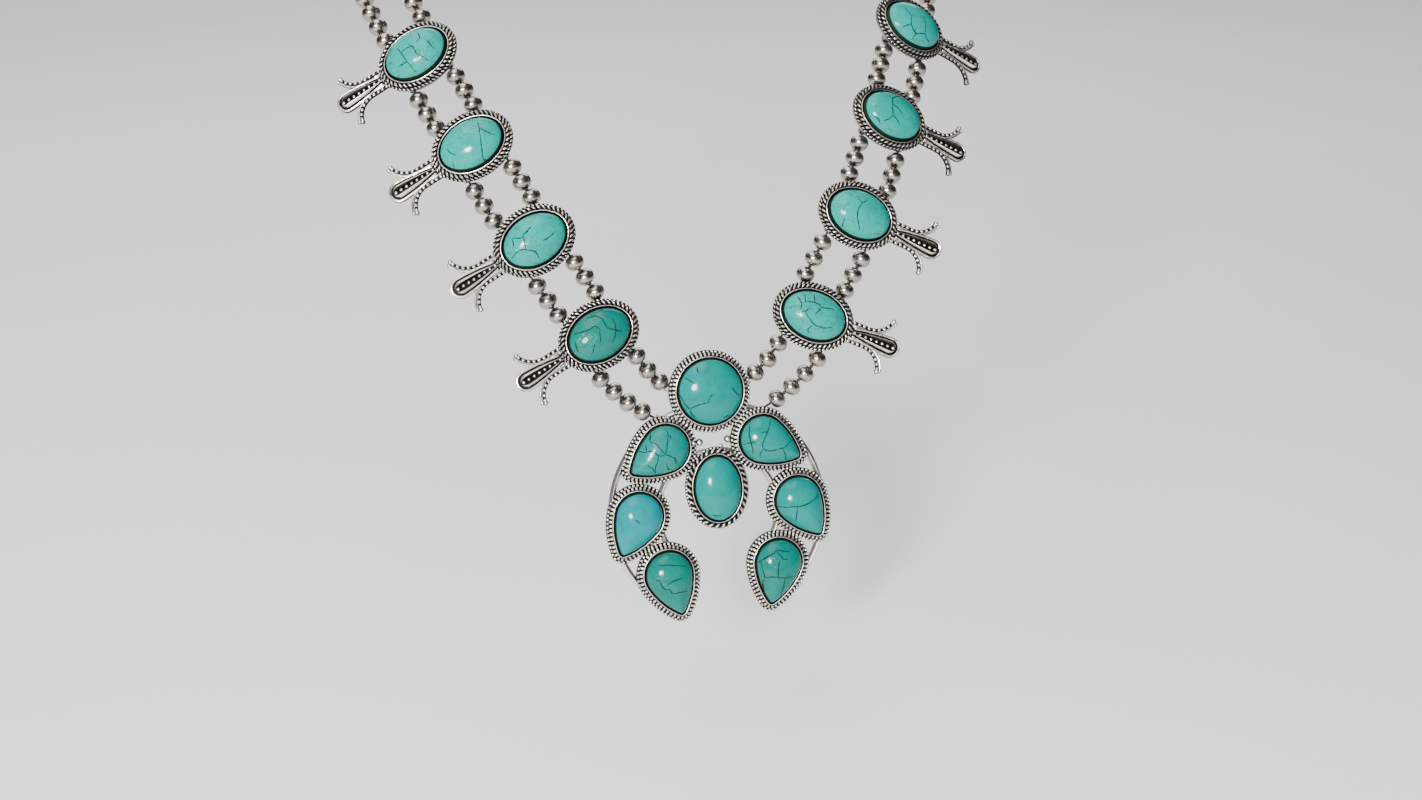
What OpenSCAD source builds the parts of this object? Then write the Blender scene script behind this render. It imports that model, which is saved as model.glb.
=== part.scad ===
// Squash blossom necklace: a crescent pendant of nine turquoise cabochons on two strands of
// silver beads, with four blossom stations on each side and a plain bar closing the loop.
// Millimetres, +Z up, worn facing -Y, origin in the middle of the bar at the nape.

/* [Stones] */
// Length of the oval stones
oval_len = 18; // [14:0.5:22]
// Width of the oval stones
oval_wid = 13; // [10:0.5:15]
// Diameter of the round stone
round_dia = 18; // [14:0.5:20]
// Length of the pear stones
pear_len = 18; // [15:0.5:20]
// Width of the pear stones
pear_wid = 13; // [10:0.5:14]
// Radius of a pear stone's blunt point
pear_tip = 1.0; // [0.6:0.1:2]
// Radius of a pear stone's long sides
pear_flank = 21; // [19:1:40]
// Straight height of a stone's side under its dome
girdle_h = 1.3; // [0.8:0.1:2]
// Height of a stone's dome
dome_h = 4.2; // [2.5:0.1:5.5]
// Clearance round and under each stone
stone_gap = 0.15; // [0.1:0.05:0.3]

/* [Settings] */
// Thickness of a cup's floor
floor_t = 0.7; // [0.5:0.1:1.2]
// Width of the plain rim round a stone in the pendant
pendant_rim_w = 0.6; // [0.4:0.05:0.9]
// Width of the plain rim round a stone in a station
station_rim_w = 0.75; // [0.4:0.05:1]
// Height of the rim above a stone's straight side
rim_lip = 0.15; // [0.05:0.05:0.4]
// Width of the fluted border round a cup in the pendant
pendant_border_w = 1.7; // [1:0.05:1.7]
// Width of the twisted border round a cup in a station
station_border_w = 1.7; // [1.2:0.05:2]
// Height of a border's outer step above the cup's floor
outer_step_h = 0.9; // [0.4:0.05:1]
// Height of a border's inner step above the cup's floor
inner_step_h = 1.3; // [1:0.05:1.5]

/* [Pendant] */
// Radius on which the pear stones lie
crescent_r = 23.8; // [22:0.1:26]
// Drop from the round stone's centre to the crescent's centre
crescent_drop = 33.5; // [32:0.5:36]
// Drop from the round stone's centre to the oval stone's centre
oval_drop = 27; // [26:0.5:29]
// Radius of the crescent's outer rail
outer_rail_r = 30.1; // [28:0.1:32]
// Radius of the crescent's inner rail
inner_rail_r = 17; // [15.5:0.1:18]
// Width of a rail
rail_w = 1.7; // [1:0.1:2.2]
// Height of a rail
rail_h = 1.3; // [1:0.1:1.6]
// Lean of the pendant against the chest, in degrees
lean = 15; // [5:1:25]

/* [Blossoms] */
// Length of a blossom's body
stem_len = 15.1; // [12:0.1:17]
// Width of a blossom's body at its round end
stem_wid = 5.8; // [4.5:0.1:6.5]
// Width of a blossom's body where it meets the cup
stem_neck = 3.2; // [2.4:0.1:3.6]
// Width of the flat edge round the body
edge_w = 0.55; // [0.3:0.05:0.8]
// Thickness of the flat edge
edge_t = 0.8; // [0.5:0.1:1.2]
// Diameter of a petal's beaded wire
petal_d = 1.0; // [0.8:0.05:1.2]
// Diameter of a petal's plain wire
plain_d = 0.8; // [0.6:0.05:1]
// Straight length of a petal before it curls
petal_run = 5; // [3.5:0.1:6]
// Radius of a petal's curl
curl_r = 6.1; // [5:0.1:7]
// Turn of the upper petal's curl, in degrees
upper_turn = 74; // [55:1:85]
// Turn of the lower petal's curl, in degrees
lower_turn = 80; // [55:1:85]
// Grains along the middle of a blossom
grains = 8; // [6:1:10]
// Diameter of a grain
grain_d = 0.95; // [0.7:0.05:1.1]

/* [Strands] */
// Diameter of a bead
bead_d = 5.3; // [4.8:0.1:5.6]
// Length of a bead along its thread
bead_len = 4.2; // [3.6:0.1:4.6]
// Spacing of the beads
bead_pitch = 5.33; // [5:0.01:5.4]
// Distance between the two strands
strand_gap = 12; // [10.5:0.1:12.5]
// Length of strand that a station takes up
station_slot = 14.7; // [14:0.1:16]
// Diameter of the thread
thread_d = 0.7; // [0.5:0.05:0.8]
// Diameter of the bores
bore_d = 1.4; // [1.2:0.05:1.5]
// Outer diameter of the tubes behind a station
tube_d = 2.6; // [2.2:0.1:2.8]

/* [Bar] */
// Length of the closing bar along the strands
bar_len = 9; // [7:0.5:12]
// Thickness of the closing bar
bar_t = 3.2; // [2.6:0.1:4]

/* [Hidden] */
$fn = 48;

// Facets: points round a stone, sides of a thread
outline_n = 40;
thread_n = 6;
// Depth by which soldered pieces sink into each other
sink = 0.2;
// Spare length of a cutting tool
spare = 1;

// Heights in a setting, measured from the thread behind it
floor_low = tube_d / 2 - sink;
floor_top = floor_low + floor_t;
stone_low = floor_top + stone_gap;
rim_top = stone_low + girdle_h + rim_lip;
pendant_margin = stone_gap + pendant_rim_w + pendant_border_w;
station_margin = stone_gap + station_rim_w + station_border_w;
// Share of a border's width that its inner step takes
inner_step_share = 0.5;
// Share of a pear's length by which its dome's peak lies off the middle, towards the round end
pear_peak = 0.07;
// Directions on a dome at which it is sectioned, in degrees
dome_turns = [0, 16, 32, 48, 64, 78, 87];

// Angles of the three pear stones of a side round the crescent, and of their points
pear_at = [48, -3, -51];
pear_point = [-30, -61, -105];

// Middle line between the two strands, from below the first station to past the nape, and
// the way that the necklace faces there; the second row is the first station's place
// x, y, z, facing x, y, z
route = [
    [24, -170, -150, 0, -90, 45],
    [30, -156.5, -136.5, 1, -89, 47],
    [44.8, -149, -111, 5, -93, 38],
    [58, -134.3, -87.5, 26, -84, 48],
    [69.5, -116, -65.7, 38, -76, 53],
    [78.4, -95.5, -46, 50, -60, 62],
    [83, -72, -26, 60, -30, 74],
    [79, -45, -13, 65, 10, 75],
    [64, -22, -5, 55, 50, 67],
    [37, -6, -1, 30, 85, 45],
    [0, 0, 0, 0, 94, 34],
    [-37, -6, -1, -30, 85, 45]];
// Steps of the middle line between two of its points
route_steps = 8;
stations = 4;
beads_between = 3;
// Extra room between the mouth of a station's tube and the bead beside it
end_gap = 0.65;
inner_first_beads = 3;
outer_first_beads = 4;
// Middle of the round stone's cup
pendant_at = [0, -157, -155];
// Where the strands end on the pendant, in the pendant's own plane, and how far they run
// straight out of their tubes
inner_lug = [10.6, 1.5];
outer_lug = [13.8, -6.7];
inner_lug_turn = 32;
outer_lug_turn = 12;
lug_len = 2.8;
lug_run = 3;
mouth_run = 6;
bend_steps = 8;

function unit(v) = v / norm(v);

// Edges of the stones

// Points round an oval, grown outwards by grow
function oval_edge(l, w, grow) = [for (i = [0:outline_n - 1])
    let (a = 360 * i / outline_n, out = unit([w * cos(a), l * sin(a)]))
    [l / 2 * cos(a), w / 2 * sin(a)] + grow * out];

// Directions across the upper half of a pear's edge: point, long side, round end
function pear_turns(side_from, side_to) = concat(
    [for (i = [0:2]) side_from * i / 3],
    [for (i = [0:7]) side_from + (side_to - side_from) * i / 8],
    [for (i = [0:8]) side_to + (180 - side_to) * i / 9]);

// Upper half of a pear's edge with its point towards +X: two circles joined by a long arc
function pear_half(l, w, tip, flank, grow) = let (
    head_x = (w - l) / 2,
    tip_x = l / 2 - tip,
    apart = tip_x - head_x,
    to_head = flank - w / 2,
    to_tip = flank - tip,
    in_x = (apart * apart + to_head * to_head - to_tip * to_tip) / (2 * apart),
    in_y = sqrt(to_head * to_head - in_x * in_x),
    side_from = atan2(in_y, apart - in_x),
    side_to = atan2(in_y, -in_x))
    [for (a = pear_turns(side_from, side_to)) let (
        centre = a < side_from ? [tip_x, 0] : a < side_to ? [head_x + in_x, -in_y] : [head_x, 0],
        r = a < side_from ? tip : a < side_to ? flank : w / 2)
        centre + (r + grow) * [cos(a), sin(a)]];

// Whole edge of a pear
function pear_edge(l, w, tip, flank, grow) = let (
    half = pear_half(l, w, tip, flank, grow),
    last = [(w - l) / 2 - w / 2 - grow, 0],
    n = len(half))
    concat(half, [last], [for (i = [n - 1:-1:1]) [half[i].x, -half[i].y]]);

function stone_edge(kind, grow) =
    kind == "pear" ? pear_edge(pear_len, pear_wid, pear_tip, pear_flank, grow)
    : kind == "round" ? oval_edge(round_dia, round_dia, grow)
    : oval_edge(oval_len, oval_wid, grow);

// Solids that stones, cups and threads share

// Solid through a stack of rings with the same number of points, which turn left seen from its end
module loft(rings) {
    n = len(rings[0]);
    top = (len(rings) - 1) * n;
    points = [for (ring = rings) each ring];
    sides = [for (j = [0:len(rings) - 2], i = [0:n - 1]) let (
        a = j * n + i,
        b = j * n + (i + 1) % n) each [[a, a + n, b], [a + n, b + n, b]]];
    polyhedron(points, concat([[for (i = [0:n - 1]) i]], [[for (i = [n - 1:-1:0]) top + i]], sides),
        convexity = 4);
}

// Domed stone that stands on z = 0
module cabochon(kind) {
    edge = stone_edge(kind, 0);
    peak = kind == "pear" ? [-pear_peak * pear_len, 0] : [0, 0];
    color("turquoise")
    loft(concat(
        [[for (p = edge) [p.x, p.y, 0]]],
        [for (turn = dome_turns) [for (p = edge) let (q = peak + cos(turn) * (p - peak))
            [q.x, q.y, girdle_h + dome_h * sin(turn)]]]));
}

// Flat slab of a stone's outline grown by grow, between two heights
module slab(kind, grow, low, high) {
    translate([0, 0, low])
    linear_extrude(high - low)
    polygon(stone_edge(kind, grow));
}

// Cup with its floor, stepped border and plain rim, still without its hollow
module cup(kind, rim_w, border_w) {
    margin = stone_gap + rim_w + border_w;
    slab(kind, margin, floor_low, floor_top + outer_step_h);
    slab(kind, margin - border_w * inner_step_share, floor_low, floor_top + inner_step_h);
    slab(kind, stone_gap + rim_w, floor_low, rim_top);
}

// Hollow of a cup, where its stone sits
module hollow(kind) {
    slab(kind, stone_gap, floor_top, rim_top + spare);
}

// Tube along Y, and its bore
module tube(d, l) {
    rotate([90, 0, 0])
    cylinder(d = d, h = l, center = true);
}

// Pendant, in its own plane: x to the right, y up, z to the front

module pendant_place() {
    translate(pendant_at)
    rotate([90 - lean, 0, 0])
    children();
}

function pear_spot(i) = crescent_r * [cos(pear_at[i]), sin(pear_at[i])] - [0, crescent_drop];

module pear_place(i) {
    translate(pear_spot(i))
    rotate(pear_point[i])
    children();
}

module oval_place() {
    translate([0, -oval_drop])
    rotate(90)
    children();
}

// Rail of triangular wire round the crescent, from one tip's cup to the other's
module rail(r) {
    ends = -pear_at[2] + 4;
    translate([0, -crescent_drop, floor_low - sink])
    rotate(-ends)
    rotate_extrude(angle = 180 + 2 * ends, $fn = 96)
    polygon([[r - rail_w / 2, 0], [r + rail_w / 2, 0], [r + rail_w / 2, rail_h / 3],
        [r, rail_h], [r - rail_w / 2, rail_h / 3]]);
}

// Short tube on the back of a cup, where a strand ends
module lug(at, turn) {
    translate([at.x, at.y, 0])
    rotate(turn - 90)
    tube(tube_d, lug_len);
}

module lug_bore(at, turn) {
    translate([at.x, at.y, 0])
    rotate(turn - 90)
    tube(bore_d, lug_len + spare);
}

module both_sides() {
    children();
    mirror([1, 0, 0])
    children();
}

// Outlines of the pendant's nine cups, grown by grow
module cup_outlines(grow) {
    polygon(stone_edge("round", grow));
    oval_place() polygon(stone_edge("oval", grow));
    both_sides()
    for (i = [0:2]) pear_place(i) polygon(stone_edge("pear", grow));
}

// Flat layer of all nine cups between two heights
module cup_layer(grow, low, high) {
    translate([0, 0, low])
    linear_extrude(high - low)
    cup_outlines(grow);
}

module pendant_frame() {
    color("silver")
    pendant_place()
    difference() {
        union() {
            cup_layer(pendant_margin, floor_low, floor_top + outer_step_h);
            cup_layer(pendant_margin - pendant_border_w * inner_step_share, floor_low + sink,
                floor_top + inner_step_h);
            cup_layer(stone_gap + pendant_rim_w, floor_low + sink, rim_top);
            both_sides() {
                lug(inner_lug, inner_lug_turn);
                lug(outer_lug, outer_lug_turn);
            }
            rail(outer_rail_r);
            rail(inner_rail_r);
        }
        cup_layer(stone_gap, floor_top, rim_top + spare);
        both_sides() {
            lug_bore(inner_lug, inner_lug_turn);
            lug_bore(outer_lug, outer_lug_turn);
        }
    }
}

module round_stone() {
    pendant_place()
    translate([0, 0, stone_low])
    cabochon("round");
}

module centre_oval_stone() {
    pendant_place()
    translate([0, 0, stone_low])
    oval_place()
    cabochon("oval");
}

module pear_stone(i) {
    pendant_place()
    translate([0, 0, stone_low])
    pear_place(i)
    cabochon("pear");
}

// Middle line of the strands

// Point between four neighbours, on a smooth curve through all of them
function curve(a, b, c, d, t) = 0.5 * (2 * b + (c - a) * t + (2 * a - 5 * b + 4 * c - d) * t * t
    + (3 * b - a - 3 * c + d) * t * t * t);

route_rows = [for (i = [1:len(route) - 3], k = [0:route_steps - (i == len(route) - 3 ? 0 : 1)])
    curve(route[i - 1], route[i], route[i + 1], route[i + 2], k / route_steps)];

function spot_of(row) = [row[0], row[1], row[2]];

// Length along a list of points up to each of them
function lengths(points) = [for (i = 0, s = 0; i < len(points);
    s = s + (i < len(points) - 1 ? norm(points[i + 1] - points[i]) : 0), i = i + 1) s];

route_lengths = lengths([for (row = route_rows) spot_of(row)]);
route_total = route_lengths[len(route_lengths) - 1];

// Table of each column of the route against the length
route_tables = [for (column = [0:5])
    [for (i = [0:len(route_rows) - 1]) [route_lengths[i], route_rows[i][column]]]];

function row_at(s) = [for (table = route_tables) lookup(s, table)];
function middle(s) = spot_of(row_at(s));
// Half of the length over which a direction is taken
feel = 2;
function along(s) = let (r = min(max(s, feel), route_total - feel))
    s > route_total - feel ? [-1, 0, 0] : unit(middle(r + feel) - middle(r - feel));
function facing(s) = let (row = row_at(s)) [row[3], row[4], row[5]];
function across(s) = unit(cross(along(s), facing(s)));
function strand_spot(side, s) = middle(s) + side * strand_gap / 2 * across(s);

function station_at(i) = i * (station_slot + beads_between * bead_pitch);

// Frame of the necklace at a length: x outwards across the strands, y along them, z to the front
module along_route(s) {
    x = across(s);
    y = along(s);
    z = cross(x, y);
    p = middle(s);
    multmatrix([[x[0], y[0], z[0], p[0]], [x[1], y[1], z[1], p[1]], [x[2], y[2], z[2], p[2]]])
    children();
}

// Blossom stations, in the frame of the necklace

stem_flank = 60;
stem_from = oval_len / 2 + station_margin - edge_w;
stem_mid = stem_from + stem_len / 2;
petal_v = stem_wid / 2 - plain_d / 4;
petal_z = floor_low + petal_d / 2 + 0.12;

function stem_half(grow) = pear_half(stem_len, stem_wid, stem_neck / 2, stem_flank, grow);

// Round body, flat behind, with its flat edge
module stem() {
    half = stem_half(-edge_w);
    back = concat(half, [[-stem_len / 2 + edge_w, 0]]);
    translate([stem_mid, 0, floor_low])
    rotate(180) {
        linear_extrude(edge_t)
        polygon(pear_edge(stem_len, stem_wid, stem_neck / 2, stem_flank, 0));
        intersection() {
            rotate([0, 90, 0])
            rotate_extrude()
            polygon(concat([[0, stem_len / 2 - edge_w]], [for (p = back) [max(p.y, 0), p.x]]));
            translate([-stem_len, -stem_wid, 0])
            cube([2 * stem_len, 2 * stem_wid, stem_wid]);
        }
    }
}

// Arc of wire that starts at the origin along +X and curls to +Y
module curl(r, turn, d) {
    translate([0, r, 0])
    rotate(-90)
    rotate_extrude(angle = turn)
    translate([r, 0])
    circle(d = d, $fn = 24);
}

// Petal beside the body: a beaded wire and a plain wire that curl outwards to a ball each
module petal(turn) {
    translate([stem_from, petal_v, petal_z]) {
        rotate([0, 90, 0])
        cylinder(d = petal_d, h = petal_run, $fn = 24);
        translate([petal_run, 0, 0])
        curl(curl_r, turn, petal_d);
        translate([petal_run + curl_r * sin(turn), curl_r * (1 - cos(turn)), 0])
        sphere(d = petal_d * 1.2, $fn = 24);
        translate([petal_run, -(petal_d + plain_d) / 2 + plain_d / 8, (plain_d - petal_d) / 2])
        curl(curl_r + (petal_d + plain_d) / 2 - plain_d / 8, turn - 4, plain_d);
    }
}

module grain_row() {
    step = (stem_len - 2 * grain_d) / grains;
    for (i = [0:grains - 1]) let (
        u = (i + 0.7) * step,
        r = lookup(stem_len / 2 - u, stem_half(-edge_w)))
        translate([stem_from + u, 0, floor_low + r])
        sphere(d = grain_d, $fn = 24);
}

module blossom(i) {
    color("silver")
    along_route(station_at(i))
    difference() {
        union() {
            cup("oval", station_rim_w, station_border_w);
            for (side = [-1, 1]) translate([side * strand_gap / 2, 0, 0])
                tube(tube_d, station_slot - 2 * sink);
            stem();
            petal(upper_turn);
            mirror([0, 1, 0]) petal(lower_turn);
            grain_row();
        }
        hollow("oval");
        for (side = [-1, 1]) translate([side * strand_gap / 2, 0, 0])
            tube(bore_d, station_slot + spare);
    }
}

module oval_stone(i) {
    along_route(station_at(i))
    translate([0, 0, stone_low])
    cabochon("oval");
}

// Strands of beads

// Point of the pendant's plane in the necklace's own frame
function from_pendant(p) = pendant_at + [p.x, p.y * sin(lean), p.y * cos(lean)];
function pendant_way(turn) = [cos(turn), sin(turn) * sin(lean), sin(turn) * cos(lean)];

// Smooth way that leaves a along way_a and reaches d against way_d, each straight for a reach
function bend(a, way_a, reach_a, d, way_d, reach_d) = let (
    b = a + reach_a * way_a,
    c = d + reach_d * way_d)
    [for (k = [0:bend_steps]) let (t = k / bend_steps, u = 1 - t)
        u * u * u * a + 3 * u * u * t * b + 3 * u * t * t * c + t * t * t * d];

// Mouth of a station's tube, at its lower (-1) or upper (1) end
function mouth(side, i, end) = strand_spot(side, station_at(i))
    + end * station_slot / 2 * along(station_at(i));

// Way from the first station down to the pendant
function first_way(side) = bend(
    mouth(side, 0, -1), -along(station_at(0)), mouth_run,
    from_pendant(side < 0 ? inner_lug : outer_lug),
    pendant_way(side < 0 ? inner_lug_turn : outer_lug_turn), lug_len / 2 + lug_run);

// Way from a station up to the next one
function next_way(side, i) = bend(
    mouth(side, i, 1), along(station_at(i)), bead_pitch,
    mouth(side, i + 1, -1), -along(station_at(i + 1)), bead_pitch);

// Way from the last station up to the route, and on along it to the bar
last_station = stations - 1;
rest_from = station_at(last_station) + station_slot / 2 + 3 * bead_pitch;
rest_to = route_total - thread_d;
rest_steps = ceil((rest_to - rest_from) / bead_pitch);
function last_way(side) = concat(
    bend(mouth(side, last_station, 1), along(station_at(last_station)), bead_pitch,
        strand_spot(side, rest_from), -along(rest_from), bead_pitch),
    [for (k = [1:rest_steps])
        strand_spot(side, rest_from + (rest_to - rest_from) * k / rest_steps)]);

// Place and way of each bead on a way, at the given lengths along it
function spots(way, at) = let (
    l = lengths(way),
    table = [for (axis = [0:2]) [for (i = [0:len(way) - 1]) [l[i], way[i][axis]]]])
    [for (s = at) let (
        low = max(s - feel, 0),
        high = min(s + feel, l[len(l) - 1]))
        [[for (axis = [0:2]) lookup(s, table[axis])],
         unit([for (axis = [0:2]) lookup(high, table[axis]) - lookup(low, table[axis])])]];

// n beads spread over the first room of a way
function even_spots(way, room, n) = spots(way,
    [for (k = [0:n - 1]) end_gap + (k + 0.5) * (room - 2 * end_gap) / n]);

function whole(way) = let (l = lengths(way)) l[len(l) - 1];

function first_spots(side) = spots(first_way(side),
    [for (k = [0:(side < 0 ? inner_first_beads : outer_first_beads) - 1]) (k + 0.55) * bead_pitch]);

function next_spots(side, i) = let (way = next_way(side, i))
    even_spots(way, whole(way), beads_between);

function last_spots(side) = let (
    way = last_way(side),
    room = whole(way) + thread_d - bar_len / 2)
    even_spots(way, room, floor(room / bead_pitch));

function bead_spots(side) = concat(first_spots(side),
    [for (i = [0:last_station - 1]) each next_spots(side, i)], last_spots(side));

// Round bead with its hole along Z
module bead() {
    rotate_extrude()
    difference() {
        translate([(bead_d - bead_len) / 2, 0])
        circle(d = bead_len);
        translate([-bead_d, -bead_len])
        square([bead_d + bore_d / 2, 2 * bead_len]);
    }
}

// Turns Z to the given way
module point_to(way) {
    rotate([0, acos(way[2]), atan2(way[1], way[0])])
    children();
}

module beads(side) {
    color("dimgray")
    for (spot = bead_spots(side))
        translate(spot[0])
        point_to(spot[1])
        bead();
}

// Thread through one strand, from inside the pendant's tube to inside the bar
module thread(side) {
    way = first_way(side);
    points = concat([for (k = [bend_steps:-1:0]) way[k]],
        [for (i = [0:last_station - 1]) each next_way(side, i)], last_way(side));
    last = len(points) - 1;
    color("black")
    loft([for (i = [0:last]) let (
        y = unit(points[min(i + 1, last)] - points[max(i - 1, 0)]),
        z = unit(cross(cross(y, [0, 0, 1]), y)),
        x = cross(y, z))
        [for (k = [0:thread_n - 1]) let (a = 360 * k / thread_n)
            points[i] + thread_d / 2 * (cos(a) * z + sin(a) * x)]]);
}

// Plain bar that closes the loop at the nape
module closing_bar() {
    color("silver")
    along_route(route_total)
    difference() {
        union() {
            for (side = [-1, 1]) translate([side * strand_gap / 2, 0, 0])
                tube(bar_t, bar_len);
            cube([strand_gap, bar_len, bar_t], center = true);
        }
        for (side = [-1, 1]) translate([side * strand_gap / 2, 0, 0])
            tube(bore_d, bar_len + spare);
    }
}

// Draws what is made for the right side on the side named
module on_side(name) {
    if (name == "left")
        mirror([1, 0, 0])
        children();
    else
        children();
}

pendant_frame();
round_stone();
centre_oval_stone();
on_side("left") pear_stone(0);  // left_top_pear_stone
on_side("left") pear_stone(1);  // left_middle_pear_stone
on_side("left") pear_stone(2);  // left_tip_pear_stone
on_side("right") pear_stone(0);  // right_top_pear_stone
on_side("right") pear_stone(1);  // right_middle_pear_stone
on_side("right") pear_stone(2);  // right_tip_pear_stone
on_side("left") blossom(0);  // left_blossom_1
on_side("left") blossom(1);  // left_blossom_2
on_side("left") blossom(2);  // left_blossom_3
on_side("left") blossom(3);  // left_blossom_4
on_side("right") blossom(0);  // right_blossom_1
on_side("right") blossom(1);  // right_blossom_2
on_side("right") blossom(2);  // right_blossom_3
on_side("right") blossom(3);  // right_blossom_4
on_side("left") oval_stone(0);  // left_oval_stone_1
on_side("left") oval_stone(1);  // left_oval_stone_2
on_side("left") oval_stone(2);  // left_oval_stone_3
on_side("left") oval_stone(3);  // left_oval_stone_4
on_side("right") oval_stone(0);  // right_oval_stone_1
on_side("right") oval_stone(1);  // right_oval_stone_2
on_side("right") oval_stone(2);  // right_oval_stone_3
on_side("right") oval_stone(3);  // right_oval_stone_4
on_side("left") beads(-1);  // left_inner_beads
on_side("left") beads(1);  // left_outer_beads
on_side("right") beads(-1);  // right_inner_beads
on_side("right") beads(1);  // right_outer_beads
on_side("left") thread(-1);  // left_inner_thread
on_side("left") thread(1);  // left_outer_thread
on_side("right") thread(-1);  // right_inner_thread
on_side("right") thread(1);  // right_outer_thread
closing_bar();
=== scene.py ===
"""Squash blossom necklace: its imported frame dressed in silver, turquoise and thread."""
import math
import random
import bmesh
import bpy
import numpy as np
from mathutils import Matrix, Vector


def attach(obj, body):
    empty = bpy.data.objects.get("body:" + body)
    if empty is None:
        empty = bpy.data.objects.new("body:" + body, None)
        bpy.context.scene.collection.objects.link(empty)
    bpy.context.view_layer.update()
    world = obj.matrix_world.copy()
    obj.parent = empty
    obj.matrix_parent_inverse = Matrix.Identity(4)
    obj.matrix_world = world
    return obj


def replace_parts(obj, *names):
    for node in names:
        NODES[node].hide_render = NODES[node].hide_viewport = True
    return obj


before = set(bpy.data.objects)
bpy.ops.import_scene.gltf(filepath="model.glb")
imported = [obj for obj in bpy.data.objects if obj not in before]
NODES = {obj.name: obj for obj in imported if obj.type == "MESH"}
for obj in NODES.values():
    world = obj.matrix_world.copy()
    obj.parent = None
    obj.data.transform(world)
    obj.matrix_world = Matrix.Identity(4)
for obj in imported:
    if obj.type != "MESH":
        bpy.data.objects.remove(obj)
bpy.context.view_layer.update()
TAU = 2 * math.pi
MM = 0.001

# Sizes in millimetres, as in the part's source; heights count from the plane of the strands
OVAL, ROUND, PEAR = (18.0, 13.0), (18.0, 18.0), (18.0, 13.0)  # length and width of the stones
PEAR_TIP, PEAR_FLANK = 1.0, 21.0  # radii of a pear's tip and of its flanks
PEAR_PEAK = 0.07  # the summit of a pear is this share of its length off its middle
GIRDLE, DOME = 1.3, 4.2  # heights of a stone's wall and of its dome
GAP = 0.15  # clearance of a stone in its cup
FLOOR_LOW = 1.1
FLOOR_TOP = FLOOR_LOW + 0.7
STONE_LOW = FLOOR_TOP + GAP
RIM_TOP = STONE_LOW + GIRDLE + 0.15
PENDANT_RIM_W, STATION_RIM_W, BORDER_W = 0.6, 0.75, 1.7
PENDANT_AT = np.array([0.0, -157.0, -155.0])  # where the round stone's axis starts
LEAN = math.radians(15)  # how far the pendant's face is turned up
CRESCENT_R, CRESCENT_DROP = 23.8, 33.5  # the circle that the pears stand on
OVAL_DROP = 27.0
PEAR_AT, PEAR_POINT = (48, -3, -51), (-30, -61, -105)  # place and heading in degrees
OUTER_RAIL_R, INNER_RAIL_R, RAIL_W, RAIL_H = 30.1, 17.0, 1.7, 1.3
RAIL_END = math.radians(52)  # how far a rail goes on past a half circle
STRAND_GAP, SLOT = 12.0, 14.7  # between the strands, and the room for a station on a strand
TUBE_D, BORE_D = 2.6, 1.4
END_TUBES = (((10.6, 1.5), 32), ((13.8, -6.7), 12))  # middle and heading in degrees
END_TUBE_LEN = 2.8
STEM_FROM, STEM_LEN, STEM_WID, STEM_NECK, STEM_FLANK = 11.05, 15.1, 5.8, 3.2, 60.0
STEM_MID = STEM_FROM + STEM_LEN / 2
STEM_OUTLINE = (STEM_LEN, STEM_WID, STEM_NECK / 2, STEM_FLANK)
PETAL_RUN, CURL_R = 5.0, 6.1
BEAD_D, BEAD_LEN = 5.3, 4.2

# Sizes of what the source leaves plain
EASE = 0.1  # width of a broken edge
RIM_SHARE = 0.52  # share of a rim's width that its round top takes
WALL_DROP, RIM_DROP, SEAT_DROP = 0.7, 0.5, 0.9  # below the rim's top
# Twisted wires: offset from the stone's edge, height, radius of a strand, radius of its lay
# and length of a lobe
CENTRE_ROPE = (1.4, 3.0, 0.42, 0.36, 1.75)
STATION_ROPE = (1.5, 3.05, 0.36, 0.3, 1.35)
FINE_ROPE = (2.3, 2.2, 0.27, 0.22, 1.15)
# Rows of granules: offset from the stone's edge, height, radius and pitch
CENTRE_GRANULES = (2.15, 2.35, 0.42, 0.98)
COLLAR_GRANULES = (2.1, 2.5, 0.46, 1.15)
# Collar of ribs: offset and height of its inner and outer edge, pitch and height of a rib
COLLAR = ((0.78, 3.15), (1.72, 2.5), 1.15, 0.34)
SOLDER_BALLS = [(-3.9, -13.9, 1.7), (4.1, -13.7, 1.7)]
SMALL_BALLS = [(-5.7, -13.9, 2.7), (2.0, -15.4, 1.9)]
SOLDER_BALL_R, SMALL_BALL_R = 1.05, 0.6
PLATE_TOP = FLOOR_LOW + 0.5  # of a blossom's base plate
WIRE_R, CHANNEL = 0.36, 0.4  # wire round a blossom's body, and the channel inside it, painted dark as shade
WIRE_Z, GRAIN_Z, PETAL_Z = FLOOR_LOW + 0.75, PLATE_TOP + 0.55, FLOOR_LOW + 0.62
LOBE_AT, LOBE_HALF = 0.6, 0.42  # a lobe's crest and half width, as shares of the half body
GRAINS, GRAIN_R, GRAIN_SWELL = 8, 0.44, 0.17  # the last grain is larger by the swell
PETAL_TURN = {1: 74, -1: 80}  # degrees that the upper and lower petals curl
PETAL_R, PETAL_PITCH, PETAL_GRANULE_R = 0.5, 1.4, 0.56
PLAIN_WIRE_R, PLAIN_WIRE_IN = 0.32, 0.92  # radius, and distance inside the beaded wire
PETAL_END_R = (0.68, 0.5)
KNOT_R, KNOT_THREAD_R, KNOT_SKEW = 0.34, 0.26, 0.1
BEADS_APART = 7  # centres further apart than this have a station between them
SEAT_SWELL, SEAT_LOW, SEAT_ROWS = 1.003, 0.5, 5  # painted shade line where a stone meets its cup
CRACK_W, CRACK_LIFT, HAIR_W = 0.3, 0.02, 0.12
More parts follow.
